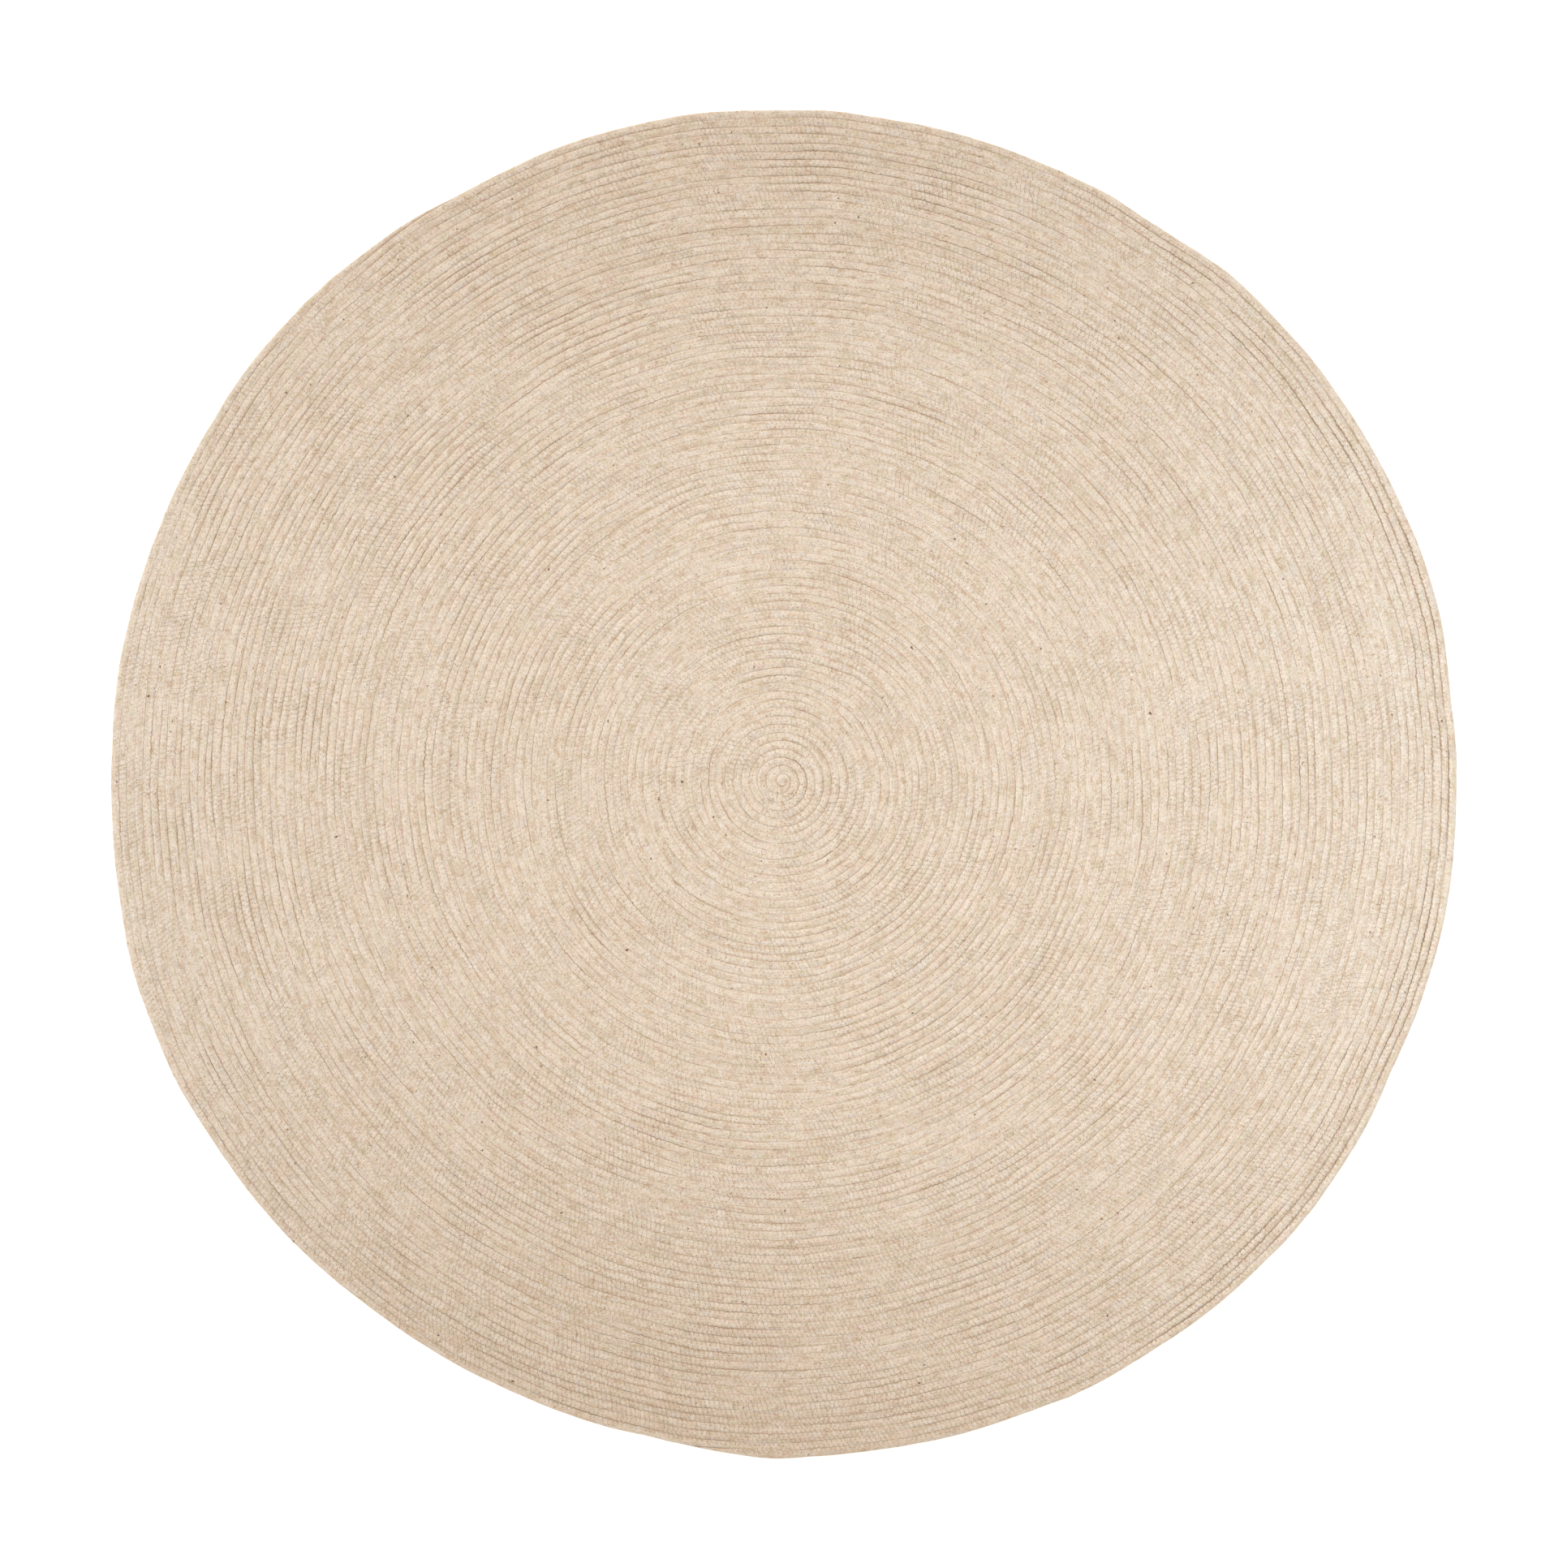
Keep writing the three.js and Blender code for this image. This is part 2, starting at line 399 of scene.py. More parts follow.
cord_starts = starts_of(mid_radius, CORDS, SINGLE_LINES)
line_starts = starts_of(lambda k: line_radius(k, fine_turned), CORDS + 1, SINGLE_LINES + 1)
wound = cord_starts[CORDS - 2] + cord_starts[CORDS - 1] - SECOND_CORD_FROM
print("About", round(wound), "m of cord are wound before the last round")

# %% [markdown]
# The rug in rounds
#
# One mesh for the whole rug would be heavy, so it is cut along its seams into ten rings of
# turns, each with a few thousand steps along its cords. Each ring is a closed skin: a top, an
# underside, a wall down each seam that it is cut along, and a face where its cords run on into
# the next ring. The walls lie against each other inside the rug, so nothing shows there. For
# painting, each ring's skin is also laid out in a square: its round is cut into bands, which
# are stacked, and each band holds all of the skin's parts at levels of their own.

# %% Choose the rings and a layout for their painted skin
RING_EDGES = [0, 25, 36, 44, 51, 57, 63, 68, 73, 78, CORDS]
STEP_ALONG = 0.012
# Where each part starts and ends between the bottom and the top of its band.
LEVELS = {
    "top": (0.0, 0.74),
    "under": (0.76, 0.95),
    "inner wall": (0.955, 0.975),
    "outer wall": (0.98, 1.0),
}
BAKE_MARGIN = 0.003
# The bands fill the square up to here, and the faces of the cuts lie in a row above them.
BANDS_TOP = 0.985
CUTS = {"from": 0.987, "height": 0.010, "step": 0.1, "width": 0.08}


def skin_bands(first, last):
    """How many bands a ring is cut into, so that they fill a square when stacked."""
    outer = line_radius(last, fine_turned).mean()
    width = (last - first) * TURN_PITCH
    return max(2, round(float(np.sqrt(2 * np.pi * outer * LEVELS["top"][1] / width))))


def ring_columns(first, last, bands):
    """Directions of a ring's steps: even ones, the ends of its bands, and its tails' ends."""
    outer = line_radius(last, fine_turned).mean()
    each = int(np.ceil(2 * np.pi * outer / STEP_ALONG / bands))
    even = np.linspace(0, FULL_TURN, bands * each + 1)
    tails = [tail["end"] for tail in TAILS] if last == CORDS else []
    return np.unique(np.concatenate([even, tails]))


ring_bounds = list(zip(RING_EDGES[:-1], RING_EDGES[1:]))
print("The rings are cut into", [skin_bands(first, last) for first, last in ring_bounds], "bands")


# %% Cut grids of places into triangles
def grid_of(shape, *values):
    """Values for every place of a grid, whichever axis of it each of them came along."""
    return np.stack([np.broadcast_to(value, shape) for value in values], axis=-1)


def quads(grid):
    """The four corners of every cell of a grid, as an array of cells by four corners."""
    cells = [grid[:-1, :-1], grid[:-1, 1:], grid[1:, 1:], grid[1:, :-1]]
    return np.stack([cell.reshape(-1, grid.shape[-1]) for cell in cells], axis=1)


def split(cells, turn_over):
    """Each cell of four corners as two triangles, in the other direction if turned over."""
    order = [0, 2, 1, 0, 3, 2] if turn_over else [0, 1, 2, 0, 2, 3]
    return cells[:, order].reshape(-1, cells.shape[-1])


def to_corners(layers, bands, turn_over):
    """Corners of the triangles of a grid, with their places in the painted square.

    The layers are the place, both maps, the directions turned with the level, and whether
    the place is on a seam. A cell's band is the whole number of its share of the round. U is
    what is left of that share, and V is the band and the level in it."""
    place, cord, seam, skin, crease = [quads(layer) for layer in layers]
    turned, level = skin[:, :, 0], skin[:, :, 1]
    middle = (turned.min(axis=1, keepdims=True) + turned.max(axis=1, keepdims=True)) / 2
    band = np.floor(middle * bands / FULL_TURN)
    u = BAKE_MARGIN + (turned * bands / FULL_TURN - band) * (1 - 2 * BAKE_MARGIN)
    v = (band + BAKE_MARGIN + level * (1 - 2 * BAKE_MARGIN)) / bands * BANDS_TOP
    cells = [place, cord, seam, np.stack([u, v], axis=-1), crease]
    return [split(cell, turn_over) for cell in cells]


cells = sum(len(face["across"]) - 1 for face in FACES.values())
print("Each step along a cord has", 2 * cells, "triangles")


# %% Make the faces, walls and cuts of a cord
def side_of_cord(cord, turned, side, first, last, bands):
    """Triangles of one face of a cord, with every corner's places.

    The inner half measures from the line inside it and the outer half from the one outside,
    so the face is made as two grids that meet on the crest."""
    across = FACES[side]["across"]
    low, high = LEVELS[side]
    points = cord_points(cord, turned, side)
    inside, outside = line_radius(cord, turned), line_radius(cord + 1, turned)
    along = cord_starts[cord] + length_along((inside + outside) / 2, turned)
    middle = len(across) // 2
    made = []
    for half, line in ((slice(0, middle + 1), cord), (slice(middle, len(across)), cord + 1)):
        across_half = across[half][:, None]
        shape = (len(across_half), len(turned))
        turns_out = cord + (across_half + 1) / 2
        radius = line_radius(line, turned)
        at_rim = rim_share(line, turned)
        seam_along = line_starts[line] + length_along(radius, turned)
        seam_out = inside + (outside - inside) * (across_half + 1) / 2 - radius
        seam_out = seam_out - RIM_CLEAR * at_rim
        level = low + (high - low) * (turns_out - first) / (last - first)
        is_seam = (np.abs(across_half) == 1) & (at_rim < 0.5)
        layers = [
            points[half],
            grid_of(shape, along, turns_out),
            grid_of(shape, seam_along, seam_out),
            grid_of(shape, turned, level),
            grid_of(shape, is_seam.astype(float)),
        ]
        made.append(to_corners(layers, bands, side == "under"))
    return [np.concatenate(parts) for parts in zip(*made)]


def wall(cord, turned, which, bands):
    """Triangles of a cord's inner or outer wall, from the underside up to the top."""
    is_outer = which == "outer wall"
    line = cord + 1 if is_outer else cord
    row = -1 if is_outer else 0
    shape = (2, len(turned))
    along = line_starts[line] + length_along(line_radius(line, turned), turned)
    at_rim = rim_share(line, turned)
    layers = [
        np.stack([cord_points(cord, turned, side)[row] for side in ("under", "top")]),
        grid_of(shape, along, line),
        grid_of(shape, along, -RIM_CLEAR * at_rim),
        grid_of(shape, turned, np.array(LEVELS[which])[:, None]),
        grid_of(shape, (at_rim < 0.5).astype(float)),
    ]
    return to_corners(layers, bands, is_outer)


def cut_face(cord, turned, number):
    """Triangles that close a cut across a cord: a fan, because the section is convex.

    The cut is at the cord's start or after its full turn, and there the fan is turned over."""
    is_end = turned == FULL_TURN
    top, under = [cord_points(cord, np.array([turned]), side)[:, 0] for side in ("top", "under")]
    ring = np.concatenate([top, under[::-1]])
    fan = np.arange(1, len(ring) - 1)
    corners = np.stack([0 * fan, fan, fan + 1], axis=1)
    if is_end:
        corners = corners[:, ::-1]
    count = corners.size
    inner, outer = ring[0, :2], ring[len(top) - 1, :2]
    share = (ring[:, :2] - inner) @ (outer - inner) / ((outer - inner) @ (outer - inner))
    u = CUTS["step"] * number + CUTS["width"] * share
    v = CUTS["from"] + CUTS["height"] * ring[:, 2] / THICKNESS
    along = cord_starts[cord] + (length_along(mid_radius(cord), fine_turned)[-1] if is_end else 0)
    return [
        ring[corners].reshape(-1, 3),
        np.tile([along, cord + 0.5], (count, 1)),
        np.tile([along, TURN_PITCH / 2], (count, 1)),
        np.stack([u, v], axis=1)[corners].reshape(-1, 2),
        np.ones((count, 1)),
    ]


print("A cut across a cord has", len(cut_face(40, 0.0, 0)[0]) // 3, "triangles")


# %% Collect the corners of one ring
def runs_on_into(cord):
    """The cord that a cord runs on into after a full turn."""
    return cord + 1 if cord < SINGLE_LINES - 1 else cord + 2


def ring_corners(first, last):
    """Every triangle corner of a ring of cords, from first up to but not with last."""
    bands = skin_bands(first, last)
    columns = ring_columns(first, last, bands)
    parts = []
    cuts = []
    for cord in range(first, last):
        turned = columns[columns <= cord_end(cord)]
        for side in FACES:
            parts.append(side_of_cord(cord, turned, side, first, last, bands))
        if runs_on_into(cord) >= last and cord_end(cord) == FULL_TURN:
            cuts.append((cord, FULL_TURN))
    if first > 0:
        cuts += [(first, 0.0), (first + 1, 0.0)]
        parts.append(wall(first, columns, "inner wall", bands))
    for number, (cord, turned) in enumerate(cuts):
        parts.append(cut_face(cord, turned, number))
    ends = [0] + ([tail["end"] for tail in TAILS] if last == CORDS else []) + [FULL_TURN]
    for step, (begin, end) in enumerate(zip(ends[:-1], ends[1:])):
        turned = columns[(columns >= begin) & (columns <= end)]
        parts.append(wall(last - 1 - step, turned, "outer wall", bands))
    return [np.concatenate(layer) for layer in zip(*parts)]


print("Cord 10 runs on into cord", runs_on_into(10), "and cord 40 into", runs_on_into(40))

# %% [markdown]
# From corners to a mesh
#
# Corners that lie at the same place become one point of the mesh, which closes the skin, and
# triangles that have shrunk to a line are left out. The seams are marked sharp, so that the
# light breaks there as it does in a real fold between two cords.

# %% Weld the corners into a closed mesh
GRAIN = 1e-6
# Added to every place, so that all of its numbers are above nothing and fit in their bits.
LIFT = (2.0, 2.0, 0.1)
PLAN_BITS = 22
HEIGHT_BITS = 20
MAP_LAYERS = {"Cord": 1, "Seam": 2, "OFBake": 3}


def weld(places):
    """One number for each place, rounded to a thousandth of a millimetre.

    The three rounded lengths are put one after the other into one whole number."""
    x, y, z = np.round((places + LIFT) / GRAIN).astype(np.int64).T
    key = (x << (PLAN_BITS + HEIGHT_BITS)) | (y << HEIGHT_BITS) | z
    _, index, corner = np.unique(key, return_index=True, return_inverse=True)
    return index, corner.reshape(-1, 3)


def ring_mesh(name, first, last):
    """A ring of turns as one closed mesh with its two maps of places and its painted skin."""
    layers = ring_corners(first, last)
    index, triangles = weld(layers[0])
    a, b, c = triangles.T
    kept = (a != b) & (b != c) & (c != a)
    triangles = triangles[kept].astype(np.int32)
    mesh = bpy.data.meshes.new(name)
    mesh.vertices.add(len(index))
    mesh.vertices.foreach_set("co", layers[0][index].astype(np.float32).ravel())
    mesh.loops.add(triangles.size)
    mesh.loops.foreach_set("vertex_index", triangles.ravel())
    mesh.polygons.add(len(triangles))
    mesh.polygons.foreach_set("loop_start", np.arange(0, triangles.size, 3, dtype=np.int32))
    mesh.update(calc_edges=True)
    corner_kept = np.repeat(kept, 3)
    for map_name, layer in MAP_LAYERS.items():
        values = layers[layer][corner_kept].astype(np.float32)
        mesh.uv_layers.new(name=map_name).data.foreach_set("uv", values.ravel())
    creased = np.zeros(len(index), bool)
    creased[triangles.ravel()[layers[4][corner_kept, 0] > 0.5]] = True
    edges = np.zeros(2 * len(mesh.edges), np.int32)
    mesh.edges.foreach_get("vertices", edges)
    sharp = creased[edges.reshape(-1, 2)].all(axis=1)
    mesh.attributes.new("sharp_edge", "BOOLEAN", "EDGE").data.foreach_set("value", sharp)
    return mesh


# %% Build the ten rings
rings = []
for number, (first, last) in enumerate(ring_bounds, start=1):
    mesh = ring_mesh(f"rug_turns_{number}", first, last)
    ring = bpy.data.objects.new(mesh.name, mesh)
    bpy.context.scene.collection.objects.link(ring)
    rings.append(ring)
    print(mesh.name, "has", len(mesh.polygons), "triangles in", last - first, "turns")

# %% [markdown]
# Wool
#
# The cord is felted from undyed wool: rolled, wetted and rubbed until the fibres lock. The eye
# sees a dull surface that scatters light softly, with a faint bloom of fibre ends, patches of
# cream, oat, rose, grey and olive where fleeces were mixed, and dark specks of straw and guard
# hair. Each of these is a layer of noise laid over the one before, so one table and one loop
# are enough for all.

# %% Helpers for a material
def linear(code):
    """An sRGB hex colour as the linear numbers that a shader needs, with full cover."""
    srgb = np.array([int(code[i : i + 2], 16) / 255 for i in (1, 3, 5)])
    value = np.where(srgb <= 0.04045, srgb / 12.92, ((srgb + 0.055) / 1.055) ** 2.4)
    return (*value.tolist(), 1.0)


def add_node(kind, options=None, inputs=None):
    """Adds a node to the wool, sets its options, and links or sets each of its sockets.

    It gives back the node's outputs."""
    node = wool.node_tree.nodes.new(kind)
    for name, value in (options or {}).items():
        setattr(node, name, value)
    for name, value in (inputs or {}).items():
        if isinstance(value, bpy.types.NodeSocket):
            wool.node_tree.links.new(value, node.inputs[name])
        else:
            node.inputs[name].default_value = value
    return node.outputs


# Options that many nodes share.
ADD = {"operation": "ADD"}
SUBTRACT = {"operation": "SUBTRACT"}
MULTIPLY = {"operation": "MULTIPLY"}
MULTIPLY_ADD = {"operation": "MULTIPLY_ADD"}
ABSOLUTE = {"operation": "ABSOLUTE"}
LENGTH = {"operation": "LENGTH"}
S_CURVE = {"interpolation_type": "SMOOTHSTEP"}

wool = bpy.data.materials.new("felted_undyed_wool_cord")
wool.use_nodes = True
print("The wool starts with", len(wool.node_tree.nodes), "nodes")

# %% [markdown]
# Places for the patterns
#
# Patches of wool follow the cord, specks lie anywhere, and some tones run along the turns for
# an arm's length over several cords. The last are drawn on a third set of places: the direction
# from the coil's middle as a step of length one, with the distance from it as the height.

# %% Read the places
cord_place = add_node("ShaderNodeUVMap", {"uv_map": "Cord"})["UV"]
cord_axes = add_node("ShaderNodeSeparateXYZ", inputs={0: cord_place})
seam_place = add_node("ShaderNodeUVMap", {"uv_map": "Seam"})["UV"]
plan_place = add_node("ShaderNodeTexCoord")["Object"]
plan_axes = add_node("ShaderNodeSeparateXYZ", inputs={0: plan_place})
from_middle = add_node(
    "ShaderNodeMapping",
    inputs={"Vector": plan_place, "Location": (*(-COIL_CENTRE), 0), "Scale": (1, 1, 0)},
)[0]
direction = add_node("ShaderNodeVectorMath", {"operation": "NORMALIZE"}, {0: from_middle})[0]
distance = add_node("ShaderNodeVectorMath", LENGTH, {0: from_middle})["Value"]
distance_up = add_node("ShaderNodeCombineXYZ", inputs={"Z": distance})[0]
round_place = add_node("ShaderNodeVectorMath", ADD, {0: direction, 1: distance_up})[0]
PLACES = {"cord": cord_place, "plan": plan_place, "round": round_place}
print("Patterns can be laid out on the", ", ".join(PLACES))

# %% Lay wool over wool
# The size of a patch is in metres along the cord and turns across it on the cord, in metres on
# the plan, and in radians and metres on the round. It shows where its noise is above start, in
# full above end, and then hides cover of what is below. A wool fibre is 0.03 mm thick, far too
# fine to show, so the finest patches are drawn 2 mm wide, about as coarse as the eye sees them
# from above. The black specks share the noise of the brown ones before, so they lie in them.
BASE_WOOL = "#F1DCC6"
WOOLS = [
    {"colour": "#C6AB8B", "place": "round", "size": (0.40, 0.40, 0.012), "detail": 3,
     "start": 0.46, "end": 0.68, "cover": 0.36},
    {"colour": "#F5E8D6", "place": "round", "size": (0.30, 0.30, 0.008), "detail": 3,
     "start": 0.48, "end": 0.66, "cover": 0.45},
    {"colour": "#F3E6D3", "place": "cord", "size": (0.036, 0.8, 1), "detail": 3,
     "start": 0.46, "end": 0.64, "cover": 0.55},
    {"colour": "#C3A583", "place": "cord", "size": (0.024, 0.7, 1), "detail": 3,
     "start": 0.50, "end": 0.68, "cover": 0.48},
    {"colour": "#E2C0AE", "place": "cord", "size": (0.030, 0.7, 1), "detail": 3,
     "start": 0.51, "end": 0.66, "cover": 0.46},
    {"colour": "#D9CFC5", "place": "cord", "size": (0.030, 0.8, 1), "detail": 3,
     "start": 0.52, "end": 0.66, "cover": 0.46},
    {"colour": "#CFC69C", "place": "cord", "size": (0.028, 0.8, 1), "detail": 3,
     "start": 0.50, "end": 0.64, "cover": 0.33},
    {"colour": "#DDBF8C", "place": "cord", "size": (0.026, 0.8, 1), "detail": 3,
     "start": 0.53, "end": 0.68, "cover": 0.30},
    {"colour": "#B9835C", "place": "cord", "size": (0.024, 0.30, 1), "detail": 3,
     "start": 0.58, "end": 0.74, "cover": 0.62},
    {"colour": "#BC9972", "place": "plan", "size": (0.0090,) * 3, "detail": 3,
     "start": 0.50, "end": 0.72, "cover": 0.42},
    {"colour": "#FBF1E4", "place": "plan", "size": (0.0080,) * 3, "detail": 3,
     "start": 0.50, "end": 0.72, "cover": 0.40},
    {"colour": "#A98660", "place": "plan", "size": (0.0020,) * 3, "detail": 2,
     "start": 0.51, "end": 0.73, "cover": 0.54},
    {"colour": "#FDF5EA", "place": "plan", "size": (0.0024,) * 3, "detail": 2,
     "start": 0.51, "end": 0.73, "cover": 0.62},
    {"colour": "#94663F", "place": "plan", "size": (0.0046,) * 3, "detail": 1,
     "start": 0.72, "end": 0.80, "cover": 0.60},
    {"colour": "#8A5C38", "place": "plan", "size": (0.0090,) * 3, "detail": 2,
     "start": 0.67, "end": 0.79, "cover": 0.70},
    {"colour": "#4A3524", "place": "plan", "size": (0.0090,) * 3, "detail": 2,
     "start": 0.74, "end": 0.79, "cover": 0.85, "noise": 14},
]
NOISE_STEP = 7.3

colour = linear(BASE_WOOL)
for number, patch in enumerate(WOOLS):
    scaled = add_node(
        "ShaderNodeMapping",
        inputs={
            "Vector": PLACES[patch["place"]],
            "Location": (NOISE_STEP * patch.get("noise", number), 0, 0),
            "Scale": tuple(1 / size for size in patch["size"]),
        },
    )[0]
    noise = add_node(
        "ShaderNodeTexNoise",
        inputs={"Vector": scaled, "Scale": 1.0, "Detail": patch["detail"], "Roughness": 0.6},
    )["Fac"]
    amount = add_node(
        "ShaderNodeMapRange",
        S_CURVE,
        {
            "Value": noise,
            "From Min": patch["start"],
            "From Max": patch["end"],
            "To Max": patch["cover"],
        },
    )[0]
    colour = add_node(
        "ShaderNodeMix", {"data_type": "RGBA"}, {0: amount, 6: colour, 7: linear(patch["colour"])}
    )[2]
print("The wool is mixed from", len(WOOLS) + 1, "colours")

# %% [markdown]
# The sewing
#
# A zigzag runs over every seam: 7.1 mm from hole to hole along each side, 9 mm wide. Its thread
# is wool-coloured and sinks into the felt, so what shows is a faint dent with a tiny dark hole
# at each end, and the seam itself as a thin brown line that is broken where the thread crosses.
# The dent, the hole and the line are painted darker as the shade that falls in them.
# The zigzag is a triangle wave of the metres along the seam. Noise pushes all of it about by a
# millimetre first, because felt is soft and a hand guides it.

# %% Push the places about
# The noise is a half on average, so half the reach is taken off again.
PUSH = {"size": 0.0080, "reach": 0.0046}

push = add_node(
    "ShaderNodeTexNoise",
    inputs={"Vector": plan_place, "Scale": 1 / PUSH["size"], "Detail": 2.0},
)
pushed = add_node(
    "ShaderNodeVectorMath",
    MULTIPLY_ADD,
    {0: push["Color"], 1: (PUSH["reach"], PUSH["reach"], 0), 2: seam_place},
)[0]
sewn = add_node(
    "ShaderNodeVectorMath", SUBTRACT, {0: pushed, 1: (PUSH["reach"] / 2, PUSH["reach"] / 2, 0)}
)[0]
sewn_axes = add_node("ShaderNodeSeparateXYZ", inputs={0: sewn})
seam_along, seam_out = sewn_axes["X"], sewn_axes["Y"]
print("The sewing is pushed about by up to", 500 * PUSH["reach"], "mm each way")

# %% Follow the thread
# The wave is 0 where the thread turns on the inner side of the seam, and a half where it turns
# on the outer side.
STITCH = 0.0071
HALF_ZIGZAG = 0.0043
THREAD_REACH = 0.0022

stitches = add_node("ShaderNodeMath", {"operation": "DIVIDE"}, {0: seam_along, 1: STITCH})[0]
phase = add_node("ShaderNodeMath", {"operation": "FRACT"}, {0: stitches})[0]
centred = add_node("ShaderNodeMath", SUBTRACT, {0: phase, 1: 0.5})[0]
wave = add_node("ShaderNodeMath", ABSOLUTE, {0: centred})[0]
thread_at = add_node(
    "ShaderNodeMath", MULTIPLY_ADD, {0: wave, 1: 4 * HALF_ZIGZAG, 2: -HALF_ZIGZAG}
)[0]
thread_off = add_node("ShaderNodeMath", SUBTRACT, {0: seam_out, 1: thread_at})[0]
thread_gap = add_node("ShaderNodeMath", ABSOLUTE, {0: thread_off})[0]
thread = add_node(
    "ShaderNodeMapRange", S_CURVE, {"Value": thread_gap, "From Min": THREAD_REACH, "From Max": 0.0}
)[0]
print(f"A stitch takes {1000 * STITCH:.1f} mm, and the zigzag is {2000 * HALF_ZIGZAG:.1f} mm wide")

# %% Pull the thread tighter here and looser there
# The needle pulls the thread tight on its way out and leaves it looser on its way back. It is
# also tighter in some places than in others, and tightest at the bottom.
ONE_WAY = {"middle": 0.65, "swing": 0.35}
BOTTOM = {"from": -0.35, "to": -0.85, "share": 0.14}
TENSION = {"size": 0.070, "from": 0.35, "to": 0.68, "least": 0.15, "most": 1.55}

turned_round = add_node("ShaderNodeMath", MULTIPLY, {0: stitches, 1: 2 * np.pi})[0]
way = add_node("ShaderNodeMath", {"operation": "SINE"}, {0: turned_round})[0]
tight_one_way = add_node(
    "ShaderNodeMath", MULTIPLY_ADD, {0: way, 1: ONE_WAY["swing"], 2: ONE_WAY["middle"]}
)[0]
tight_bottom = add_node(
    "ShaderNodeMapRange",
    S_CURVE,
    {
        "Value": plan_axes["Y"],
        "From Min": BOTTOM["from"],
        "From Max": BOTTOM["to"],
        "To Max": BOTTOM["share"],
    },
)[0]
tension_patches = add_node(
    "ShaderNodeTexNoise",
    inputs={"Vector": plan_place, "Scale": 1 / TENSION["size"], "Detail": 3.0},
)["Fac"]
tension_drawn = add_node("ShaderNodeMath", ADD, {0: tension_patches, 1: tight_bottom})[0]
tension = add_node(
    "ShaderNodeMapRange",
    S_CURVE,
    {
        "Value": tension_drawn,
        "From Min": TENSION["from"],
        "From Max": TENSION["to"],
        "To Min": TENSION["least"],
        "To Max": TENSION["most"],
    },
)[0]
for share in (tight_one_way, tension):
    thread = add_node("ShaderNodeMath", MULTIPLY, {0: thread, 1: share})[0]
print("The thread shows by", TENSION["least"], "to", TENSION["most"], "as it is pulled")

# %% Mark the needle holes with painted shade
# The nearest hole is at the wave's end on the point's own side of the seam. Not every hole
# shows, because the felt closes over some of them.
HOLE_RADIUS = 0.0010
HOLES_SHOWN = {"size": 0.012, "from": 0.42, "to": 0.66}

is_outer = add_node("ShaderNodeMath", {"operation": "GREATER_THAN"}, {0: seam_out, 1: 0.0})[0]
wave_end = add_node("ShaderNodeMath", MULTIPLY, {0: is_outer, 1: 0.5})[0]
hole_phase = add_node("ShaderNodeMath", SUBTRACT, {0: wave, 1: wave_end})[0]
hole_along = add_node("ShaderNodeMath", MULTIPLY, {0: hole_phase, 1: STITCH})[0]
seam_gap = add_node("ShaderNodeMath", ABSOLUTE, {0: seam_out})[0]
hole_across = add_node("ShaderNodeMath", SUBTRACT, {0: seam_gap, 1: HALF_ZIGZAG})[0]
hole_step = add_node("ShaderNodeCombineXYZ", inputs={"X": hole_along, "Y": hole_across})[0]
hole_gap = add_node("ShaderNodeVectorMath", LENGTH, {0: hole_step})["Value"]
hole = add_node(
    "ShaderNodeMapRange", S_CURVE, {"Value": hole_gap, "From Min": HOLE_RADIUS, "From Max": 0.0}
)[0]
hole_patches = add_node(
    "ShaderNodeTexNoise",
    inputs={"Vector": plan_place, "Scale": 1 / HOLES_SHOWN["size"], "Detail": 2.0},
)["Fac"]
hole_strength = add_node(
    "ShaderNodeMapRange",
    S_CURVE,
    {"Value": hole_patches, "From Min": HOLES_SHOWN["from"], "From Max": HOLES_SHOWN["to"]},
)[0]
# The dark dot of a hole is painted shade inside the hole.
hole_painted_shade = add_node("ShaderNodeMath", MULTIPLY, {0: hole, 1: hole_strength})[0]
print("A needle hole is", 2000 * HOLE_RADIUS, "mm wide with its dent")

# %% [markdown]
# The seams
#
# Between two cords the eye sees a thin dark line: painted shade in the gap between them. The
# seam lies open for an arm's length, where the shade is strong, and is pulled shut for another.
# The painted shade is stronger on the outer turns and on the first ones, and strongest and widest
# on the last turns to the right, where the cords' right flanks are turned from the light. So its
# strength is noise, drawn for each seam by itself from its number and the metres along it, with a
# little more for those places. Each stitch pulls it to its own side.

# %% Find how strong each seam's painted shade is
SEAM_PATCH = 0.250
SEAM_OPEN = {"from": 0.41, "to": 0.75}

line_number = add_node("ShaderNodeMath", {"operation": "ROUND"}, {0: cord_axes["Y"]})[0]
seam_patch_place = add_node("ShaderNodeCombineXYZ", inputs={"X": seam_along, "Y": line_number})[0]
openness_and_right_shade = add_node(
    "ShaderNodeTexNoise",
    {"noise_dimensions": "2D"},
    {"Vector": seam_patch_place, "Scale": 1 / SEAM_PATCH, "Detail": 6.0, "Roughness": 0.62},
)["Fac"]
# Where the seams' painted shade is stronger. On the last turns to the right it is the shade of cord
# flanks turned from the light.
SEAM_SHADE_STRONGER = {
    "last turns": {"by": line_number, "from": 77, "to": 82, "share": 0.10},
    "outer turns": {"by": distance, "from": 0.30, "to": 0.80, "share": 0.04},
    "first turns": {"by": distance, "from": 0.14, "to": 0.04, "share": 0.06},
}
seam_shade_stronger = {}
for name, turns in SEAM_SHADE_STRONGER.items():
    seam_shade_stronger[name] = add_node(
        "ShaderNodeMapRange",
        S_CURVE,
        {
            "Value": turns["by"],
            "From Min": turns["from"],
            "From Max": turns["to"],
            "To Max": turns["share"],
        },
    )[0]
on_right = add_node(
    "ShaderNodeMapRange",
    S_CURVE,
    {"Value": plan_axes["X"], "From Min": OPEN_RIM["from"], "From Max": OPEN_RIM["to"]},
)[0]
right_rim_painted_shade = add_node("ShaderNodeMath", MULTIPLY, {0: seam_shade_stronger["last turns"], 1: on_right})[0]
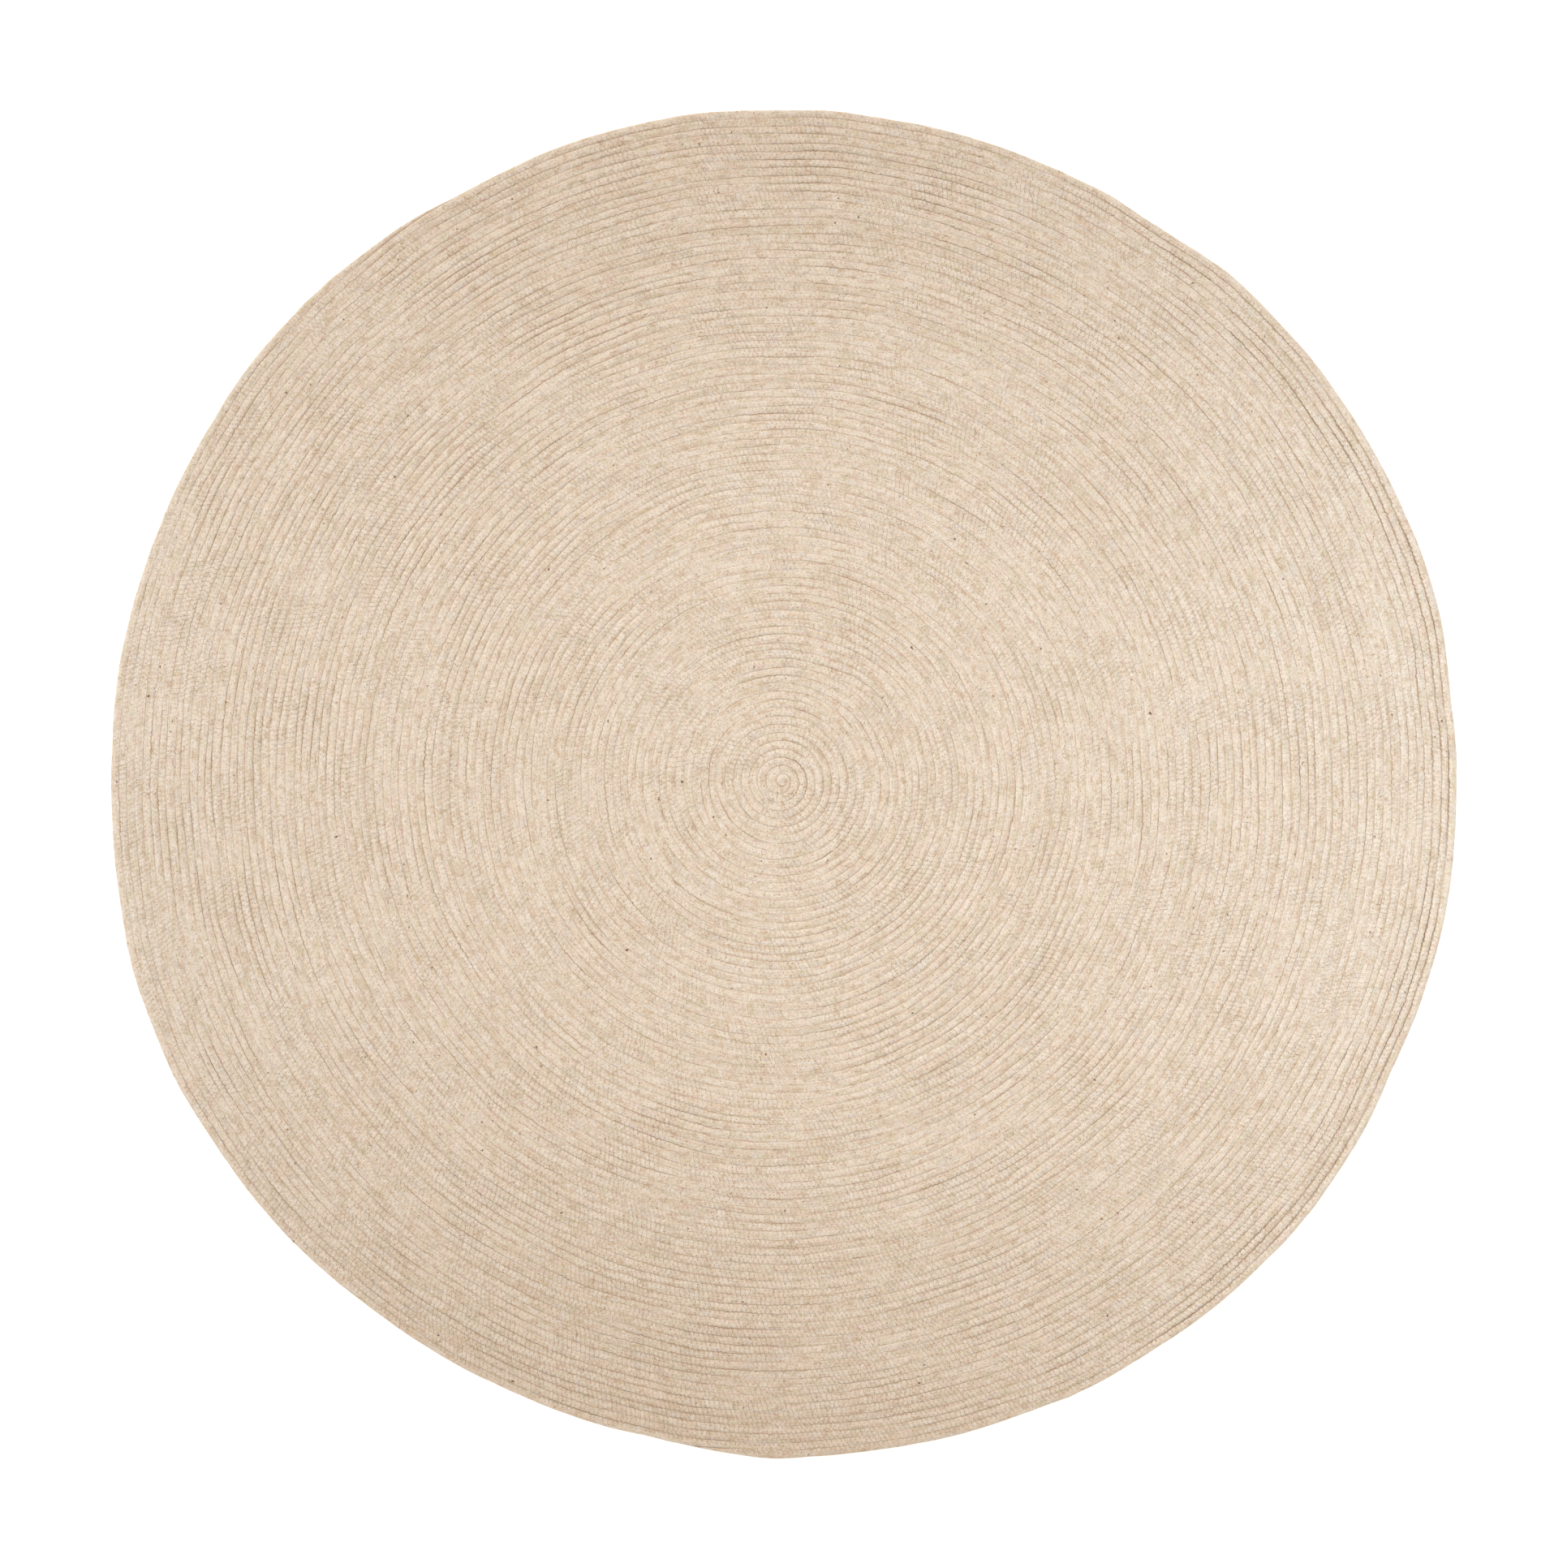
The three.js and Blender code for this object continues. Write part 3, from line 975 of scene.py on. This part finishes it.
for more in (right_rim_painted_shade, seam_shade_stronger["outer turns"], seam_shade_stronger["first turns"]):
    openness_and_right_shade = add_node("ShaderNodeMath", ADD, {0: openness_and_right_shade, 1: more})[0]
seam_shade_strength = add_node(
    "ShaderNodeMapRange",
    S_CURVE,
    {"Value": openness_and_right_shade, "From Min": SEAM_OPEN["from"], "From Max": SEAM_OPEN["to"]},
)[0]
print("A seam's strength changes over about", 1000 * SEAM_PATCH, "mm")

# %% Draw the seams' painted shade as uneven dark lines
# The thread hides the seam where it crosses, all of it where it shows by THREAD_HIDES.
SEAM_HALF = 0.0010
SEAM_SHADE_WIDENING = 0.008
SEAM_LEAN = 0.11
THREAD_HIDES = 0.8

# The seam's painted shade is wider on the last turns to the right.
seam_half = add_node(
    "ShaderNodeMath", MULTIPLY_ADD, {0: right_rim_painted_shade, 1: SEAM_SHADE_WIDENING, 2: SEAM_HALF}
)[0]
leaning = add_node("ShaderNodeMath", MULTIPLY_ADD, {0: thread_at, 1: -SEAM_LEAN, 2: seam_out})[0]
leaning_gap = add_node("ShaderNodeMath", ABSOLUTE, {0: leaning})[0]
seam_line = add_node(
    "ShaderNodeMapRange", S_CURVE, {"Value": leaning_gap, "From Min": seam_half, "From Max": 0.0}
)[0]
seam_left = add_node(
    "ShaderNodeMapRange", S_CURVE, {"Value": thread, "From Min": THREAD_HIDES, "From Max": 0.0}
)[0]
# The seam's painted shade: the line times its strength and what the thread leaves of it.
seam_painted_shade = seam_line
for share in (seam_shade_strength, seam_left):
    seam_painted_shade = add_node("ShaderNodeMath", MULTIPLY, {0: seam_painted_shade, 1: share})[0]
print("A seam's line is up to", 2000 * SEAM_HALF, "mm wide, and wider on the last turns")

# %% [markdown]
# The joins
#
# Cord is made in lengths. Each is cut off askew and butted against the next, about every metre
# and a half, and the cut shows as a short dark line across the cord. It is the distance to the
# nearest whole step along the cord, with each turn's own random shift so that the joins don't
# line up.

# %% Draw the joins of the cord
JOIN_STEP = 1.45
JOIN_HALF = 0.0009
JOIN_SKEW = 0.35

turn_number = add_node("ShaderNodeMath", {"operation": "FLOOR"}, {0: cord_axes["Y"]})[0]
join_shift = add_node(
    "ShaderNodeTexWhiteNoise", {"noise_dimensions": "1D"}, {"W": turn_number}
)["Value"]
join_along = cord_axes["X"]
for part, share in ((join_shift, JOIN_STEP), (seam_out, JOIN_SKEW), (push["Fac"], PUSH["reach"])):
    join_along = add_node("ShaderNodeMath", MULTIPLY_ADD, {0: part, 1: share, 2: join_along})[0]
join_gap = add_node(
    "ShaderNodeMath", {"operation": "PINGPONG"}, {0: join_along, 1: JOIN_STEP / 2}
)[0]
join = add_node(
    "ShaderNodeMapRange", S_CURVE, {"Value": join_gap, "From Min": JOIN_HALF, "From Max": 0.0}
)[0]
print("The rug has about", round(wound / JOIN_STEP), "joins")

# %% Lay the marks and the painted shade over the wool
# The seam's line, the holes' dots and the thread's dents are painted shade; the joins are dark
# lines of the cord itself.
MARKS_AND_PAINTED_SHADE = [
    {"colour": "#8A623A", "where": seam_painted_shade, "cover": 0.85},
    {"colour": "#8A6540", "where": join, "cover": 0.60},
    {"colour": "#70563E", "where": hole_painted_shade, "cover": 0.75},
    # The thread's dent, painted darker as its shade.
    {"colour": "#C9AB88", "where": thread, "cover": 0.17},
]
for mark in MARKS_AND_PAINTED_SHADE:
    amount = add_node("ShaderNodeMath", MULTIPLY, {0: mark["where"], 1: mark["cover"]})[0]
    colour = add_node(
        "ShaderNodeMix", {"data_type": "RGBA"}, {0: amount, 6: colour, 7: linear(mark["colour"])}
    )[2]
print("The sewing leaves", len(MARKS_AND_PAINTED_SHADE), "kinds of mark")

# %% [markdown]
# The broad painted light and shade
#
# Seen whole, the rug is lighter and cooler to the right, and darker and warmer at its top and
# bottom, by up to a sixth, as the light falls on it: this is painted light and shade. A sum of the
# place's two numbers, their squares and their product, each times a small share, follows that.
# It multiplies the colour. Cooler means more blue and as much less red.

# %% Paint broad light and shade into the wool
# Painted light and shade over the whole rug: each term's share of lighter and of cooler.
PAINTED_LIGHT_TERMS = [
    {"of": ("X",), "lighter": 0.065, "cooler": 0.015},
    {"of": ("Y",), "lighter": 0.02, "cooler": 0.005},
    {"of": ("X", "X"), "lighter": 0.04, "cooler": 0.025},
    {"of": ("Y", "Y"), "lighter": -0.18, "cooler": -0.03},
    {"of": ("X", "Y"), "lighter": -0.03, "cooler": 0.0},
]
painted_light = (1.0, 1.0, 1.0)
for part in PAINTED_LIGHT_TERMS:
    value = plan_axes[part["of"][0]]
    for axis in part["of"][1:]:
        value = add_node("ShaderNodeMath", MULTIPLY, {0: value, 1: plan_axes[axis]})[0]
    lighter, cooler = part["lighter"], part["cooler"]
    share = (lighter - cooler, lighter, lighter + cooler)
    painted_light = add_node("ShaderNodeVectorMath", MULTIPLY_ADD, {0: value, 1: share, 2: painted_light})[0]
# The wool's colour times the painted light and shade.
colour_with_painted_light = add_node("ShaderNodeVectorMath", MULTIPLY, {0: colour, 1: painted_light})[0]
print("The broad tone is a sum of", len(PAINTED_LIGHT_TERMS), "terms")

# %% [markdown]
# The relief of the felt
#
# Up close the felt has fuzz and loose puffs, and the sewing pulls dents into it. They are a
# fraction of a millimetre high, so they are bump and not mesh. Real fuzz is much finer than
# this: it is drawn about 2 mm coarse, the finest that still shows from the camera.

# %% Raise the felt
FUZZ_GRAIN = 0.0022
PUFF_GRAIN = 0.0036
fuzz = add_node(
    "ShaderNodeTexNoise",
    inputs={"Vector": plan_place, "Scale": 1 / FUZZ_GRAIN, "Detail": 3.0, "Roughness": 0.65},
)["Fac"]
puffs = add_node(
    "ShaderNodeTexNoise",
    inputs={"Vector": plan_place, "Scale": 1 / PUFF_GRAIN, "Detail": 1.0},
)["Fac"]
RELIEF = [
    {"of": fuzz, "metres": 0.0010},
    {"of": puffs, "metres": 0.0008},
    {"of": thread, "metres": -0.00042},
    {"of": hole, "metres": -0.0004},
    {"of": seam_line, "metres": -0.0003},
]
height = 0.0
for part in RELIEF:
    height = add_node(
        "ShaderNodeMath", MULTIPLY_ADD, {0: part["of"], 1: part["metres"], 2: height}
    )[0]
raised = add_node("ShaderNodeBump", inputs={"Height": height, "Strength": 1.0, "Distance": 1.0})
print("The relief is made of", len(RELIEF), "layers")

# %% Give the wool its surface
surface = wool.node_tree.nodes["Principled BSDF"]
wool.node_tree.links.new(colour_with_painted_light, surface.inputs["Base Color"])
wool.node_tree.links.new(raised["Normal"], surface.inputs["Normal"])
for name, value in {
    "Roughness": 0.95,
    "IOR": 1.54,
    "Specular IOR Level": 0.25,
    "Sheen Weight": 0.25,
    "Sheen Roughness": 0.5,
    "Sheen Tint": linear("#F3E8D8"),
}.items():
    surface.inputs[name].default_value = value
print("The wool has", len(wool.node_tree.nodes), "nodes")

# %% [markdown]
# Floor and light
#
# The photograph shows no shadow, as if the rug lay on a sheet of white acrylic that is lit from
# below. The light from above is even and soft, and a little stronger from the upper left, which
# is what makes each stitch cast a faint shade. A bright sky and a broad sun give that.

# %% Lay the floor
FLOOR_HALF = 60.0
FLOOR_GAP = 0.0002
FLOOR_GLOW = 0.35
floor_mesh = bpy.data.meshes.new("floor")
corner_signs = np.array([(-1, -1), (1, -1), (1, 1), (-1, 1)])
floor_points = np.column_stack([FLOOR_HALF * corner_signs, np.full(4, -FLOOR_GAP)])
floor_mesh.from_pydata(floor_points.tolist(), [], [(0, 1, 2, 3)])
floor = bpy.data.objects.new("floor", floor_mesh)
bpy.context.scene.collection.objects.link(floor)

# Opal acrylic: white all through, with a soft glow of its own.
acrylic = bpy.data.materials.new("opal_acrylic_lit_from_below")
acrylic.use_nodes = True
for name, value in {
    "Base Color": linear("#FBFAF8"),
    "Roughness": 0.6,
    "Emission Color": linear("#FFFFFF"),
    "Emission Strength": FLOOR_GLOW,
}.items():
    acrylic.node_tree.nodes["Principled BSDF"].inputs[name].default_value = value
floor_mesh.materials.append(acrylic)
print("The floor is", 2 * FLOOR_HALF, "m wide, so that its edge is far off in a low view")

# %% Set the light
SKY_STRENGTH = 0.84
SUN_STRENGTH = 1.05
SUN_ANGLE = 25
SUN_TILT = 50
SUN_AZIMUTH = 45
world = bpy.data.worlds.new("soft_sky")
world.use_nodes = True
world.node_tree.nodes["Background"].inputs["Color"].default_value = (1, 1, 1, 1)
world.node_tree.nodes["Background"].inputs["Strength"].default_value = SKY_STRENGTH
bpy.context.scene.world = world

sun_data = bpy.data.lights.new("sun", "SUN")
sun_data.energy = SUN_STRENGTH
sun_data.angle = np.radians(SUN_ANGLE)
sun = bpy.data.objects.new("sun", sun_data)
# Unturned the sun shines straight down. It is tilted to come from +Y, then turned to -X.
sun.rotation_euler = np.radians([-SUN_TILT, 0, SUN_AZIMUTH])
bpy.context.scene.collection.objects.link(sun)
bpy.context.scene.view_settings.view_transform = "Standard"
print("The sun stands", 90 - SUN_TILT, "degrees above the floor")

# %% [markdown]
# Giving the rings to the frame
#
# Every ring rides on the rug's one body, stands for its solid, which is hidden, and is dressed
# in the felted wool. A ring is cloth laid flat: its cut is a strip as wide as its turns and as
# long as its mean round. The first ring is a disc.

# %% Dress and hand over the rings
for ring, (first, last) in zip(rings, ring_bounds):
    ring.data.materials.append(wool)
    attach(ring, "root")
    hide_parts("rug")
